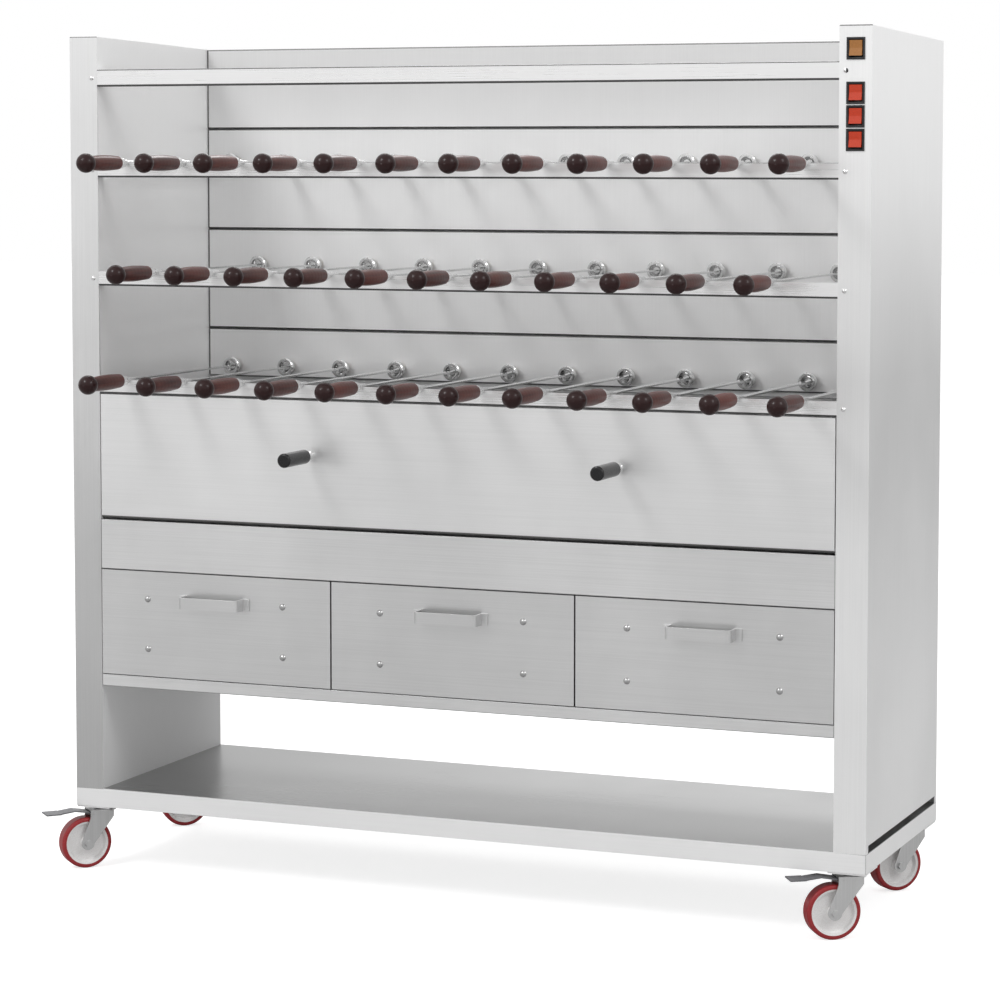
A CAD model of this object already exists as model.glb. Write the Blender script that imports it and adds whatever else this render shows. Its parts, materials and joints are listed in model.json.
import json
import math

import bmesh
import bpy
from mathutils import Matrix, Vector


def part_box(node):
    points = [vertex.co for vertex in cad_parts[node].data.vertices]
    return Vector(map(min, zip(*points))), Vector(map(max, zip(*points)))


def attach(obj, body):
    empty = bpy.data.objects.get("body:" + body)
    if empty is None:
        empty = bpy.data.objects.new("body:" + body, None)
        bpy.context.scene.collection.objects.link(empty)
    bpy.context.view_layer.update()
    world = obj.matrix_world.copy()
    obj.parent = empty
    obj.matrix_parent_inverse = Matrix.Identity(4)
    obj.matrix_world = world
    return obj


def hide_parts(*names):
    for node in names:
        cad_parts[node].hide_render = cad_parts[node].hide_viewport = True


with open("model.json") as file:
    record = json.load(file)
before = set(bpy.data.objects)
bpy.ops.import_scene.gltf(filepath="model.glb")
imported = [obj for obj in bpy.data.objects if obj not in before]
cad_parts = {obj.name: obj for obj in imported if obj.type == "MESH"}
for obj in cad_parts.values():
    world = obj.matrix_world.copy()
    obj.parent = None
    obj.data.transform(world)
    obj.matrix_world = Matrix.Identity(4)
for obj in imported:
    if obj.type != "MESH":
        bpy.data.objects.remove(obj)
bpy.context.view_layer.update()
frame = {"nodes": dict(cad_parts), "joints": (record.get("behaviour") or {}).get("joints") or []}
nodes = frame["nodes"]

# ---------------------------------------------------------------- camera
# A long lens to the right of the middle, at the height of the top row. Part of its look down is shift,
# which keeps the upright edges nearly parallel, and part is a slight dip.
shelf_low, shelf_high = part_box("base_frame")
middle_x = (shelf_low.x + shelf_high.x) / 2
front_y = shelf_low.y
EYE = Vector((middle_x + 2.2788, front_y - 5.3342, 1.4016))
YAW, DIP = math.radians(22.227), math.radians(4.116)
LEVEL = math.radians(90)
bpy.ops.object.camera_add(location=EYE, rotation=(LEVEL - DIP, 0, YAW))
camera = bpy.context.object
camera.data.sensor_width = 36
camera.data.lens = 113.10
camera.data.shift_y = -0.12
camera.data.clip_end = 60
bpy.context.scene.camera = camera

# ---------------------------------------------------------------- room
# A pale studio: an even white surround, a pale floor that keeps the shadow, and soft lamps high up, where
# the flat steel faces don't mirror them into the camera.
SURROUND_LIGHT, FLOOR_GREY, FLOOR_LIFT = 0.70, 0.62, 0.72
bpy.context.scene.view_settings.view_transform = "Standard"
world = bpy.data.worlds.new("studio_surround")
bpy.context.scene.world = world
world.use_nodes = True
tree = world.node_tree
tree.nodes.clear()
path = tree.nodes.new("ShaderNodeLightPath")
seen_or_mirrored = tree.nodes.new("ShaderNodeMath")
seen_or_mirrored.operation = "MAXIMUM"
seen = tree.nodes.new("ShaderNodeMath")
seen.operation = "MAXIMUM"
soft = tree.nodes.new("ShaderNodeBackground")
soft.inputs["Strength"].default_value = SURROUND_LIGHT
white = tree.nodes.new("ShaderNodeBackground")
white.inputs["Color"].default_value = (1, 1, 1, 1)
white.inputs["Strength"].default_value = 1.0
blend = tree.nodes.new("ShaderNodeMixShader")
surround = tree.nodes.new("ShaderNodeOutputWorld")
tree.links.new(path.outputs["Is Camera Ray"], seen.inputs[0])
tree.links.new(path.outputs["Is Transmission Ray"], seen.inputs[1])
tree.links.new(seen.outputs[0], seen_or_mirrored.inputs[0])
tree.links.new(path.outputs["Is Glossy Ray"], seen_or_mirrored.inputs[1])
tree.links.new(seen_or_mirrored.outputs[0], blend.inputs["Fac"])
tree.links.new(soft.outputs[0], blend.inputs[1])
tree.links.new(white.outputs[0], blend.inputs[2])
tree.links.new(blend.outputs[0], surround.inputs["Surface"])

bpy.ops.mesh.primitive_plane_add(size=60, location=(0, 0, -0.0005))
floor = bpy.context.object
floor.name = "floor"
paint = bpy.data.materials.new("pale_floor")
paint.use_nodes = True
tree = paint.node_tree
tree.nodes.clear()
path = tree.nodes.new("ShaderNodeLightPath")
matte = tree.nodes.new("ShaderNodeBsdfDiffuse")
matte.inputs["Color"].default_value = (FLOOR_GREY, FLOOR_GREY, FLOOR_GREY, 1)
lift = tree.nodes.new("ShaderNodeEmission")
lift.inputs["Color"].default_value = (1, 1, 1, 1)
scale = tree.nodes.new("ShaderNodeMath")
scale.operation = "MULTIPLY"
scale.inputs[1].default_value = FLOOR_LIFT
both = tree.nodes.new("ShaderNodeAddShader")
surface = tree.nodes.new("ShaderNodeOutputMaterial")
tree.links.new(path.outputs["Is Camera Ray"], scale.inputs[0])
tree.links.new(scale.outputs[0], lift.inputs["Strength"])
tree.links.new(matte.outputs[0], both.inputs[0])
tree.links.new(lift.outputs[0], both.inputs[1])
tree.links.new(both.outputs[0], surface.inputs["Surface"])
floor.data.materials.append(paint)

for name, place, aim, size, power in (
    ("soft_lamp_left", (-2.6, -4.6, 5.4), (0, 0, 0.9), 1.8, 150),
    ("soft_lamp_right", (4.6, -1.8, 4.4), (0.3, 0, 0.9), 2.0, 70),
    ("soft_lamp_rear", (-1.4, 4.6, 4.8), (0, 0, 0.9), 2.2, 80),
):
    bpy.ops.object.light_add(type="AREA", location=place)
    lamp = bpy.context.object
    lamp.name = name
    lamp.rotation_euler = (Vector(aim) - Vector(place)).to_track_quat("-Z", "Y").to_euler()
    lamp.data.size = size
    lamp.data.energy = power

# ---------------------------------------------------------------- shelf tray and castor plates
# One sheet of satin stainless steel, its edges turned down and in, standing on four castor plates. The
# bends are rounded, and the sheet is ground along its length. Pans have dulled the shelf's top.


def shader_of(material):
    material.use_nodes = True
    return material.node_tree, material.node_tree.nodes["Principled BSDF"]


def grained(tree, stretch, detail):
    """Noise drawn out along one direction; stretch is the number of marks per metre along X, Y and Z"""
    where = tree.nodes.new("ShaderNodeTexCoord")
    turn = tree.nodes.new("ShaderNodeMapping")
    turn.inputs["Scale"].default_value = stretch
    noise = tree.nodes.new("ShaderNodeTexNoise")
    noise.inputs["Scale"].default_value = 1.0
    noise.inputs["Detail"].default_value = detail
    noise.inputs["Roughness"].default_value = 0.6
    tree.links.new(where.outputs["Object"], turn.inputs["Vector"])
    tree.links.new(turn.outputs["Vector"], noise.inputs["Vector"])
    return noise.outputs["Fac"]


def ranged(tree, value, low, high, from_low=0.3, from_high=0.7):
    """Spreads the values between from_low and from_high over a socket's range, such as its roughness"""
    remap = tree.nodes.new("ShaderNodeMapRange")
    remap.inputs["From Min"].default_value = from_low
    remap.inputs["From Max"].default_value = from_high
    remap.inputs["To Min"].default_value = low
    remap.inputs["To Max"].default_value = high
    tree.links.new(value, remap.inputs["Value"])
    return remap.outputs["Result"]


def tinted(tree, value, dark, light, from_low=0.3, from_high=0.7):
    """Colours the values between from_low and from_high from a dark to a light tone"""
    ramp = tree.nodes.new("ShaderNodeValToRGB")
    ramp.color_ramp.elements[0].position = from_low
    ramp.color_ramp.elements[0].color = (*dark, 1)
    ramp.color_ramp.elements[1].position = from_high
    ramp.color_ramp.elements[1].color = (*light, 1)
    tree.links.new(value, ramp.inputs["Fac"])
    return ramp.outputs["Color"]


def summed(tree, one, two, share):
    """Lays a second pattern over the first; share is the second one's part"""
    mix = tree.nodes.new("ShaderNodeMix")
    mix.inputs["Factor"].default_value = share
    tree.links.new(one, mix.inputs["A"])
    tree.links.new(two, mix.inputs["B"])
    return mix.outputs["Result"]


def bumped(tree, shader, height, strength, distance):
    """Presses a pattern into the surface; distance is its depth in metres"""
    bump = tree.nodes.new("ShaderNodeBump")
    bump.inputs["Strength"].default_value = strength
    bump.inputs["Distance"].default_value = distance
    tree.links.new(height, bump.inputs["Height"])
    tree.links.new(bump.outputs["Normal"], shader.inputs["Normal"])


def faded(tree, colour, axis, stops):
    """Darkens a colour along one axis of the piece; stops are pairs of a place in metres and a share"""
    where = tree.nodes.new("ShaderNodeTexCoord")
    split = tree.nodes.new("ShaderNodeSeparateXYZ")
    tree.links.new(where.outputs["Object"], split.inputs["Vector"])
    first, last = stops[0][0], stops[-1][0]
    place = ranged(tree, split.outputs[axis], 0.0, 1.0, first, last)
    ramp = tree.nodes.new("ShaderNodeValToRGB")
    while len(ramp.color_ramp.elements) < len(stops):
        ramp.color_ramp.elements.new(0.5)
    for element, (spot, share) in zip(ramp.color_ramp.elements, stops):
        element.position = (spot - first) / (last - first)
        element.color = (share, share, share, 1)
    tree.links.new(place, ramp.inputs["Fac"])
    mix = tree.nodes.new("ShaderNodeMix")
    mix.data_type = "RGBA"
    mix.blend_type = "MULTIPLY"
    mix.inputs["Factor"].default_value = 1.0
    tree.links.new(colour, mix.inputs["A"])
    tree.links.new(ramp.outputs["Color"], mix.inputs["B"])
    return mix.outputs["Result"]


def ground_steel(name, tone, roughness, along, cloud, tint=(1.0, 1.0, 1.0), metallic=1.0, fade=None):
    """Metal ground along one axis; tone is its grey, cloud how far handling has dulled it

    tint is its colour, and fade is an axis and its stops, for a sheet that is duller in one place
    """
    material = bpy.data.materials.new(name)
    tree, shader = shader_of(material)
    long, fine = 4, 520
    marks = {"X": (long, fine, fine), "Y": (fine, long, fine), "Z": (fine, fine, long)}[along]
    grind = grained(tree, marks, detail=4.0)
    smear = grained(tree, (2.2, 2.2, 1.7), detail=4.0)
    both = summed(tree, grind, smear, 0.6)
    dark = tuple(tone * (1 - cloud) * c for c in tint)
    light = tuple(min(1.0, tone * (1 + cloud)) * c for c in tint)
    colour = tinted(tree, both, dark, light, 0.36, 0.64)
    if fade:
        colour = faded(tree, colour, *fade)
    tree.links.new(colour, shader.inputs["Base Color"])
    tree.links.new(ranged(tree, both, roughness - 0.06, roughness + 0.07), shader.inputs["Roughness"])
    shader.inputs["Metallic"].default_value = metallic
    bumped(tree, shader, grind, 0.07, 0.0003)
    return material


SHORTEST_BEND, NARROWEST_FACE = 0.02, 0.004
LEAST_TURN, SHARP = math.radians(50), math.radians(35)


def width_of(face):
    """A long face's area over its longest side"""
    return face.calc_area() / max(side.calc_length() for side in face.edges)


def rounded_copy(node, bend, material, scored=()):
    """A copy of a folded sheet piece whose long outer edges get the radius of a press-brake bend

    scored lists planes, each a point and a normal, that only part the faces, so that a strip can have
    a material of its own
    """
    piece = bpy.data.objects.new(node + "_folded", nodes[node].data.copy())
    bpy.context.collection.objects.link(piece)
    piece.data.materials.clear()
    piece.data.materials.append(material)
    bpy.ops.object.select_all(action="DESELECT")
    piece.select_set(True)
    bpy.context.view_layer.objects.active = piece
    bpy.ops.mesh.customdata_custom_splitnormals_clear()
    bpy.ops.object.mode_set(mode="EDIT")
    bpy.ops.mesh.select_all(action="SELECT")
    bpy.ops.mesh.remove_doubles(threshold=0.00001)
    bpy.ops.mesh.dissolve_limited(angle_limit=math.radians(0.5))
    bpy.ops.mesh.select_all(action="DESELECT")
    bpy.ops.mesh.select_mode(type="EDGE")
    shape = bmesh.from_edit_mesh(piece.data)
    for edge in shape.edges:
        if not edge.is_manifold or not edge.is_convex or edge.calc_length() < SHORTEST_BEND:
            continue
        wide = all(width_of(face) > NARROWEST_FACE for face in edge.link_faces)
        edge.select = wide and edge.calc_face_angle() > LEAST_TURN
    bmesh.update_edit_mesh(piece.data)
    bpy.ops.mesh.bevel(offset=bend, offset_type="OFFSET", segments=3, clamp_overlap=True)
    for spot, across in scored:
        bpy.ops.mesh.select_all(action="SELECT")
        bpy.ops.mesh.bisect(plane_co=spot, plane_no=across)
    bpy.ops.object.mode_set(mode="OBJECT")
    bpy.ops.object.shade_smooth_by_angle(angle=SHARP)
    flat = piece.modifiers.new("flat_faces", "WEIGHTED_NORMAL")
    flat.mode = "FACE_AREA"
    flat.weight = 100
    flat.keep_sharp = True
    bpy.ops.object.modifier_apply(modifier=flat.name)
    return piece


SHEET_BEND = 0.002
satin_length = ground_steel("satin_steel_ground_lengthways", 0.76, 0.37, "X", cloud=0.07)
apron_steel = ground_steel("apron_steel", 0.95, 0.42, "X", cloud=0.03, metallic=0.35)
WORN_SHELF = ((-0.75, 0.62), (-0.2, 0.80), (0.7, 1.0))
shelf_steel = ground_steel("worn_shelf_steel", 0.40, 0.30, "X", cloud=0.12, fade=("X", WORN_SHELF))
bend_shade = ground_steel("dulled_bend", 0.42, 0.45, "X", cloud=0.1)


SQUARE = 0.97  # a face whose normal has a larger part along one axis lies square to it
ABOVE_CASTOR_PLATES = 0.12


def in_bend(face):
    """Tells the narrow faces of a rounded bend, which lie square to no axis"""
    return max(abs(part) for part in face.normal) < SQUARE


tray = rounded_copy("base_frame", SHEET_BEND, satin_length)
for extra in (apron_steel, shelf_steel, bend_shade):
    tray.data.materials.append(extra)
for face in tray.data.polygons:
    if face.center.z > ABOVE_CASTOR_PLATES:
        face.material_index = 2 if face.normal.z > SQUARE else 3 if in_bend(face) else 1
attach(tray, "cabinet")
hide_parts("base_frame")

# ---------------------------------------------------------------- columns
# Two box columns of the same sheet, ground upright. Rail screws and hinge pins are bright, and the
# switches' bodies in the right column are black moulded plastic.
LEFT_TONES = ((0.2, 0.66), (0.6, 0.74), (1.1, 0.96), (1.5, 1.0))
RIGHT_TONES = ((0.2, 1.0), (0.7, 0.94), (1.0, 0.82), (1.35, 0.98), (1.5, 1.0))
left_steel = ground_steel("left_column_steel", 0.83, 0.36, "Z", cloud=0.05, fade=("Z", LEFT_TONES))
right_steel = ground_steel(
    "right_column_steel", 0.94, 0.38, "Z", cloud=0.04, metallic=0.7, fade=("Z", RIGHT_TONES)
)
INSIDE_TONES = ((0.38, 0.92), (0.55, 1.0), (1.6, 1.0))
inner_steel = ground_steel(
    "column_inside_steel", 0.98, 0.36, "Z", cloud=0.02, metallic=0.12, fade=("Z", INSIDE_TONES)
)
bright_fixings = ground_steel("bright_fixings", 0.78, 0.18, "Z", cloud=0.04)


def moulded(name, colour, roughness, grain=900, strength=0.05):
    """Moulded plastic with the fine matt of its tool"""
    material = bpy.data.materials.new(name)
    tree, shader = shader_of(material)
    spots = grained(tree, (grain, grain, grain), detail=2.0)
    dark = tuple(0.86 * c for c in colour)
    light = tuple(min(1.0, 1.12 * c) for c in colour)
    tree.links.new(tinted(tree, spots, dark, light), shader.inputs["Base Color"])
    tree.links.new(ranged(tree, spots, roughness - 0.05, roughness + 0.06), shader.inputs["Roughness"])
    shader.inputs["Specular IOR Level"].default_value = 0.35
    shader.inputs["Coat Weight"].default_value = 0.1
    bumped(tree, shader, spots, strength, 0.0002)
    return material


black_plastic = moulded("black_switch_plastic", (0.018, 0.018, 0.02), 0.35)


def paint_faces(piece, materials, choose):
    """Gives each face the material whose number choose() returns for the face's centre"""
    for extra in materials:
        piece.data.materials.append(extra)
    for face in piece.data.polygons:
        face.material_index = choose(face.center)


COLUMN_BEND = 0.0022
COLUMN_INSIDE, FRONT_FOLD = 0.74, 0.02
SWITCH_FRAME_HALF, SWITCH_BODY_HALF, SWITCH_DEPTH, SWITCHES_FROM_Z = 0.0168, 0.01442, 0.032, 1.40
PROUD = 0.0001  # what stands further than this before the sheet is a fixing
BEHIND_SHEET, ON_FACE, RIM_DEPTH, RIM_SLOPE = 0.0005, 0.0003, 0.003, 0.2
DARK_RIM = 4
left_column = rounded_copy("left_column", COLUMN_BEND, left_steel)
right_column = rounded_copy("right_column", COLUMN_BEND, right_steel)
column_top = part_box("left_column")[1].z
dark_rim = ground_steel("dark_sheet_rim", 0.16, 0.45, "X", cloud=0.1)
switch_x = (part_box("main_rocker")[0].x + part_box("main_rocker")[1].x) / 2


def column_part(c):
    """0 is the sheet, 1 screws and pins, 2 the switches' bodies, 3 the sides towards the chamber"""
    if abs(abs(c.x - middle_x) - COLUMN_INSIDE) < ON_FACE and c.y > front_y + FRONT_FOLD:
        return 3
    from_switch = abs(c.x - switch_x)
    in_switch = from_switch < SWITCH_FRAME_HALF and c.z > SWITCHES_FROM_Z and c.y < front_y + SWITCH_DEPTH
    behind = c.y > front_y + BEHIND_SHEET and from_switch < SWITCH_BODY_HALF
    if in_switch and (c.y < front_y - PROUD or behind):
        return 2
    return 1 if c.y < front_y - PROUD else 0


for column in (left_column, right_column):
    paint_faces(column, [bright_fixings, black_plastic, inner_steel, dark_rim], column_part)
    for face in column.data.polygons:
        on_rim = face.center.z > column_top - RIM_DEPTH and face.normal.z > RIM_SLOPE
        if on_rim and in_bend(face):
            face.material_index = DARK_RIM
    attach(column, "cabinet")
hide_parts("left_column")
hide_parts("right_column")

# ---------------------------------------------------------------- back wall, heaters and fat tray
# Four folded panels of bright sheet behind the skewers, lapped with a dark shadow gap. Below them are four
# tube heaters, dulled by heat, with white ceramic ends, over a tray that the fat has stained.
WALL_TONES = ((0.9, 1.0), (1.25, 0.97), (1.45, 0.90), (1.535, 0.80), (1.6, 0.80))
wall_steel = ground_steel(
    "bright_wall_steel", 0.98, 0.36, "Z", cloud=0.04, metallic=0.25, fade=("Z", WALL_TONES)
)
tray_steel = ground_steel("fat_tray_steel", 0.52, 0.34, "X", cloud=0.2)
heater_oxide = bpy.data.materials.new("heater_oxide")
tree, shader = shader_of(heater_oxide)
scale_marks = grained(tree, (60, 400, 400), detail=6)
oxide = tinted(tree, scale_marks, (0.05, 0.045, 0.05), (0.16, 0.13, 0.11))
tree.links.new(oxide, shader.inputs["Base Color"])
tree.links.new(ranged(tree, scale_marks, 0.45, 0.7), shader.inputs["Roughness"])
shader.inputs["Metallic"].default_value = 0.7
bumped(tree, shader, scale_marks, 0.2, 0.0003)
ceramic = moulded("white_ceramic", (0.72, 0.70, 0.66), 0.55, grain=300, strength=0.2)

WALL_LINE = 0.0032
wall_ends = (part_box("chamber_lining")[0].x + WALL_LINE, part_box("chamber_lining")[1].x - WALL_LINE)
end_lines = [((x, 0, 0), (1, 0, 0)) for x in wall_ends]
lining = rounded_copy("chamber_lining", 0.0025, wall_steel, scored=end_lines)
WALL_FOOT_Z, HEATER_Z = 0.9465, 0.8465
HANGER_X, HANGER_HALF = (middle_x - 0.296, middle_x + 0.296), 0.0012
TUBE_END_X, TUBE_REACH, CERAMIC_REACH = middle_x + 0.7095, 0.0045, 0.0095


def lining_part(c):
    """0 is the wall, 1 the fat tray and hangers, 2 the heaters' tubes, 3 their ceramic ends"""
    if c.z > WALL_FOOT_Z - 0.001:
        return 0
    on_hanger = any(abs(c.x - x) < HANGER_HALF for x in HANGER_X)
    if abs(c.z - HEATER_Z) < TUBE_REACH and not on_hanger:
        return 2 if c.x < TUBE_END_X + 0.0002 else 3
    if abs(c.z - HEATER_Z) < CERAMIC_REACH and c.x > TUBE_END_X - 0.001:
        return 3
    return 1


paint_faces(lining, [tray_steel, heater_oxide, ceramic, dark_rim], lining_part)
for face in lining.data.polygons:
    beside_column = not wall_ends[0] < face.center.x < wall_ends[1]
    if face.center.z > WALL_FOOT_Z and (in_bend(face) or beside_column):
        face.material_index = DARK_RIM
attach(lining, "cabinet")
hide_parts("chamber_lining")

# ---------------------------------------------------------------- rails
# Three notched rails and a plain tie strip, folded from brighter sheet and screwed to the columns. Smoke
# has darkened the rails' lower edges, and the strip's upper and lower one.
rail_steel = ground_steel("bright_rail_steel", 0.92, 0.28, "X", cloud=0.03, metallic=0.6)
smoked_edge = ground_steel("smoked_rail_edge", 0.10, 0.5, "X", cloud=0.3)
RAIL_H, EDGE_H = 0.028, 0.0035
TIE_H, TIE_LINE = 0.0325, 0.002
RAIL_BEND, FACING = 0.0015, -0.3
tie_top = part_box("skewer_rails")[1].z
first_spins = [j for j in frame["joints"] if j["name"].endswith("_skewer_01_spin")]
rail_feet = [spin["pos_m"][2] - RAIL_H for spin in first_spins]
edges = [(z, z + EDGE_H) for z in rail_feet + [tie_top - TIE_H]]
cut_heights = [high for low, high in edges] + [tie_top - TIE_LINE]
edges.append((tie_top - TIE_LINE, tie_top))
level_cuts = [((0, 0, z), (0, 0, 1)) for z in cut_heights]
rails = rounded_copy("skewer_rails", RAIL_BEND, rail_steel, scored=level_cuts)
rails.data.materials.append(smoked_edge)
for face in rails.data.polygons:
    on_edge = any(low - 0.0005 < face.center.z < high + 0.00005 for low, high in edges)
    if face.normal.z < FACING or on_edge and face.normal.y < FACING:
        face.material_index = 1
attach(rails, "cabinet")
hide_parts("skewer_rails")

# ---------------------------------------------------------------- fascia, floor, dividers and rear cover
# The strips above and below the drawers, the floors and dividers around them, and the cover at the rear:
# pans folded from the same satin sheet and ground lengthways.
panels = rounded_copy("cabinet_panels", SHEET_BEND, satin_length)
panels.data.materials.append(bend_shade)
for face in panels.data.polygons:
    if in_bend(face):
        face.material_index = 1
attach(panels, "cabinet")
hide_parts("cabinet_panels")

# ---------------------------------------------------------------- row drives
# Behind the wall, one drive for each row: bronze bushes for the skewers' shafts, an oiled roller chain
# that turns them all, and a painted gearmotor on a bracket.
bronze = ground_steel("bush_bronze", 0.5, 0.35, "Y", cloud=0.1, tint=(0.92, 0.58, 0.26))
oiled_chain = ground_steel("oiled_chain", 0.16, 0.4, "X", cloud=0.3)
motor_paint = moulded("motor_paint", (0.10, 0.11, 0.12), 0.45)
drives = nodes["row_drives"]
drive_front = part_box("row_drives")[0].y
BUSHES_TO, CHAINS_TO = 0.0095, 0.0155
drives.data.materials.clear()


def drive_part(c):
    """0 is the bushes, 1 the chains, 2 the gearmotors, told by how far they lie behind the wall"""
    depth = c.y - drive_front
    if depth < BUSHES_TO:
        return 0
    return 1 if depth < CHAINS_TO else 2


paint_faces(drives, [bronze, oiled_chain, motor_paint], drive_part)

# ---------------------------------------------------------------- heater door
# A folded pan that drops forward about pins at its foot. Two black grips, turned from phenolic bar, stand
# on steel shanks.
DOOR_TONES = ((0.70, 0.92), (0.95, 1.0))
door_steel = ground_steel(
    "door_steel", 0.90, 0.36, "X", cloud=0.04, metallic=0.75, fade=("Z", DOOR_TONES)
)
grip_black = moulded("grip_phenolic", (0.012, 0.012, 0.013), 0.25)
SHANK_LENGTH = 0.0238
door = rounded_copy("heater_door", SHEET_BEND, door_steel)


def door_part(c):
    """0 is the pan, 1 the shanks, 2 the grips on them"""
    if c.y > front_y - PROUD:
        return 0
    return 1 if c.y > front_y - SHANK_LENGTH else 2


paint_faces(door, [bright_fixings, grip_black, dark_rim], door_part)
for face in door.data.polygons:
    if face.material_index == 0 and in_bend(face):
        face.material_index = 3
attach(door, "heater_door")
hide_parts("heater_door")

# ---------------------------------------------------------------- drawers
# Three drawers on runners. Each has a folded front with a welded strap handle, and a tray of thin sheet
# that four domed bolts hold behind it.
bolt_steel = ground_steel("bolt_steel", 0.46, 0.24, "X", cloud=0.08)
drawer_steel = ground_steel("drawer_steel", 0.70, 0.35, "X", cloud=0.06)
BOLT_OFF_MIDDLE, BOLT_REACH = 0.145, 0.0075
for side in ("left", "middle", "right"):
    node = "drawer_" + side
    drawer = rounded_copy(node, SHEET_BEND, drawer_steel)
    low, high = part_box(node)
    drawer_x = (low.x + high.x) / 2

    def drawer_part(c):
        from_bolts = abs(abs(c.x - drawer_x) - BOLT_OFF_MIDDLE)
        return 1 if c.y < front_y - 0.00005 and from_bolts < BOLT_REACH else 0

    paint_faces(drawer, [bolt_steel, dark_rim], drawer_part)
    for face in drawer.data.polygons:
        on_front = abs(face.center.y - front_y) < 0.003 and face.material_index == 0
        if on_front and in_bend(face):
            face.material_index = 2
    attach(drawer, node)
    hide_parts(node)

# ---------------------------------------------------------------- rocker switches
# Four rockers in their frames on the right column, moulded in clear coloured plastic over a lamp: an
# amber one for the whole grill, and a red one for each row.
amber = moulded("amber_rocker_plastic", (0.42, 0.18, 0.05), 0.2)
red = moulded("red_rocker_plastic", (0.62, 0.055, 0.02), 0.2)
for node, colour in (
    ("main_rocker", amber),
    ("top_row_rocker", red),
    ("middle_row_rocker", red),
    ("lower_row_rocker", red),
):
    nodes[node].data.materials.clear()
    nodes[node].data.materials.append(colour)

# ---------------------------------------------------------------- skewers
# Turned hardwood handles, stained and lacquered, and darkened at the pommel by hands. Each has a bright
# ferrule, a flat stainless blade, and the slotted socket that turns it.
stained_wood = bpy.data.materials.new("stained_hardwood")
tree, shader = shader_of(stained_wood)
POMMEL_DARK, POMMEL_FADE = 0.022, 0.045
fibre = grained(tree, (240, 9, 240), detail=6)
board = grained(tree, (9, 5, 9), detail=3)
figure = summed(tree, fibre, board, 0.55)
wood_tone = tinted(tree, figure, (0.036, 0.008, 0.007), (0.140, 0.033, 0.024), 0.34, 0.64)
where = tree.nodes.new("ShaderNodeTexCoord")
split = tree.nodes.new("ShaderNodeSeparateXYZ")
tree.links.new(where.outputs["Object"], split.inputs["Vector"])
handle_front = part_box("top_skewer_01")[0].y
dark_to, faded_by = handle_front + POMMEL_DARK, handle_front + POMMEL_FADE
dark_end = ranged(tree, split.outputs["Y"], 1.0, 0.0, dark_to, faded_by)
stain = tree.nodes.new("ShaderNodeMix")
stain.data_type = "RGBA"
stain.inputs["B"].default_value = (0.022, 0.006, 0.006, 1)
tree.links.new(dark_end, stain.inputs["Factor"])
tree.links.new(wood_tone, stain.inputs["A"])
tree.links.new(stain.outputs["Result"], shader.inputs["Base Color"])
tree.links.new(ranged(tree, figure, 0.30, 0.48), shader.inputs["Roughness"])
shader.inputs["Specular IOR Level"].default_value = 0.18
shader.inputs["Coat Weight"].default_value = 0.18
shader.inputs["Coat Roughness"].default_value = 0.10
bumped(tree, shader, fibre, 0.15, 0.0003)
blade_steel = ground_steel("blade_steel", 0.70, 0.20, "Y", cloud=0.12)
socket_steel = ground_steel("socket_steel", 0.72, 0.16, "Y", cloud=0.08)
WOOD_END, FERRULE_END, SOCKET_START = -0.1990, -0.1670, 0.2705


def skewer_part(c):
    """0 is the handle, 1 the ferrule, 2 the blade, 3 the socket and sprocket"""
    if c.y < WOOD_END:
        return 0
    if c.y < FERRULE_END:
        return 1
    return 2 if c.y < SOCKET_START else 3


for name, node in nodes.items():
    if "_skewer_" in name:
        node.data.materials.clear()
        paint_faces(node, [stained_wood, bright_fixings, blade_steel, socket_steel], skewer_part)

# ---------------------------------------------------------------- castors
# Pressed forks of zinc-plated steel that swivel on a ball race. The wheels are white nylon with red tyres
# on an axle bolt, and the two at the front have grey brake pedals.
zinc = ground_steel("zinc_plate", 0.60, 0.36, "Z", cloud=0.12)
tyre_red = moulded("red_tyre", (0.34, 0.026, 0.030), 0.46, grain=260, strength=0.15)
hub_white = moulded("white_nylon_hub", (0.93, 0.90, 0.89), 0.4)
pedal_paint = moulded("grey_pedal", (0.16, 0.16, 0.17), 0.45, grain=420, strength=0.15)
RIM_RADIUS = 0.0421
rolls = {j["child"]: j for j in frame["joints"] if j["name"].endswith("_roll")}
for name, joint in rolls.items():
    axle, along = Vector(joint["pos_m"]), Vector(joint["axis"]).normalized()

    def wheel_part(c):
        out = c - axle
        return 0 if (out - along * out.dot(along)).length < RIM_RADIUS else 1

    nodes[name].data.materials.clear()
    paint_faces(nodes[name], [hub_white, tyre_red], wheel_part)
for name, node in nodes.items():
    if name.endswith("_fork"):
        node.data.materials.clear()
        node.data.materials.append(zinc)
    if name.endswith("_pedal"):
        node.data.materials.clear()
        node.data.materials.append(pedal_paint)
